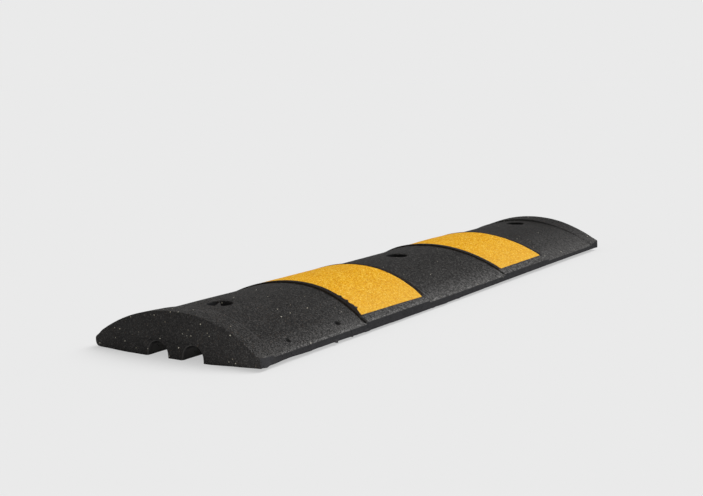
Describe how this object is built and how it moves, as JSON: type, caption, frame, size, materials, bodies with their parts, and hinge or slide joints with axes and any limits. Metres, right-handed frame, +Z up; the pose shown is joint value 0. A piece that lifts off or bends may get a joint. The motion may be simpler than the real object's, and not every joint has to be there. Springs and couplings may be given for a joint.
{
  "type": "speed bump",
  "caption": "Low crowned rubber speed bump with raised yellow bands, short lips, round-topped cable channels underneath and counterbored bolt holes along its crest.",
  "frame": {"origin": "centre of the base, on the road surface", "axes": "+Y along the bump, +X across it, +Z up"},
  "size_m": [0.3, 1.2, 0.065],
  "materials": {
    "black_rubber": "moulded crumb rubber, matt, with a fine grain",
    "yellow_rubber": "bonded coloured rubber granules, matt",
    "zinc_steel": "dull zinc plate"
  },
  "bodies": {
    "root": {"rubber_body": "black_rubber", "yellow_panel_near": "yellow_rubber", "yellow_panel_far": "yellow_rubber", "seat_washer_near": "zinc_steel", "seat_washer_middle": "zinc_steel", "seat_washer_far": "zinc_steel"}
  },
  "joints": []
}
